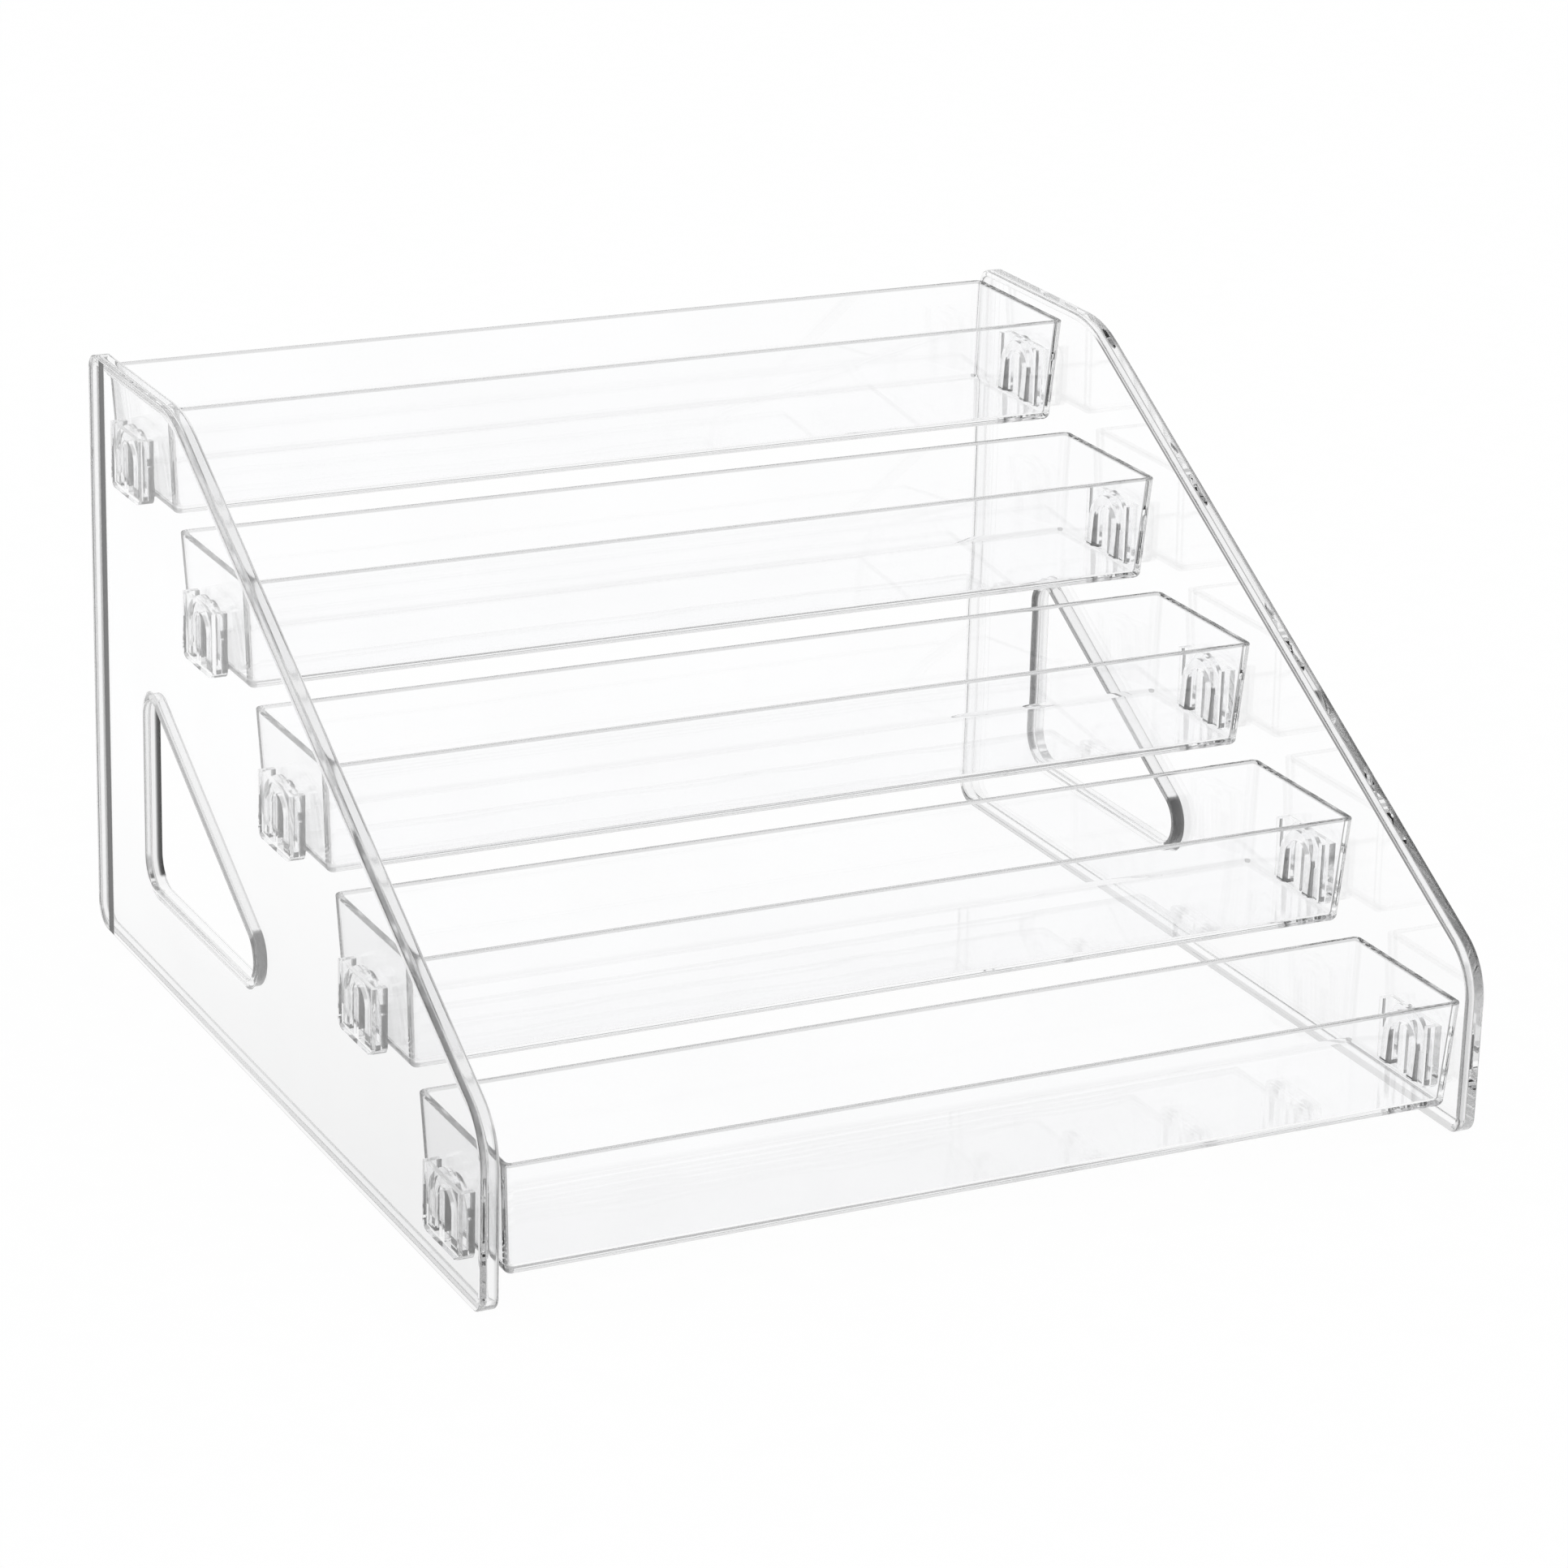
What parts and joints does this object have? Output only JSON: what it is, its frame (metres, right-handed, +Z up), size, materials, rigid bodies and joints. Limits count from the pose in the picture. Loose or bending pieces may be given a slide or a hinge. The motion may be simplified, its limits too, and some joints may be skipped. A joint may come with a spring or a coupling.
{
  "type": "lipstick holder",
  "caption": "Clear step rack for lipsticks: open trays rise in tiers between two sloping side panels and lift out of moulded sockets.",
  "frame": {"origin": "middle of the footprint, on the surface the side panels stand on", "axes": "+Z up, -Y towards the front and lowest tray, +X to the right along the trays"},
  "size_m": [0.311, 0.308, 0.1845],
  "materials": {
    "panel_clear": "clear polished moulded plastic",
    "tray_clear": "clear polished moulded plastic"
  },
  "bodies": {
    "frame": {"side_panel_left": "panel_clear", "side_panel_right": "panel_clear"},
    "tier_1": {"tray_tier_1": "tray_clear"},
    "tier_2": {"tray_tier_2": "tray_clear"},
    "tier_3": {"tray_tier_3": "tray_clear"},
    "tier_4": {"tray_tier_4": "tray_clear"},
    "tier_5": {"tray_tier_5": "tray_clear"}
  },
  "joints": [
    {"name": "tier_1_lift", "type": "slide", "parent": "frame", "child": "tier_1", "axis": [0, 0, 1], "range_m": [0, 0.012]},
    {"name": "tier_2_lift", "type": "slide", "parent": "frame", "child": "tier_2", "axis": [0, 0, 1], "range_m": [0, 0.012]},
    {"name": "tier_3_lift", "type": "slide", "parent": "frame", "child": "tier_3", "axis": [0, 0, 1], "range_m": [0, 0.012]},
    {"name": "tier_4_lift", "type": "slide", "parent": "frame", "child": "tier_4", "axis": [0, 0, 1], "range_m": [0, 0.012]},
    {"name": "tier_5_lift", "type": "slide", "parent": "frame", "child": "tier_5", "axis": [0, 0, 1], "range_m": [0, 0.012]}
  ]
}
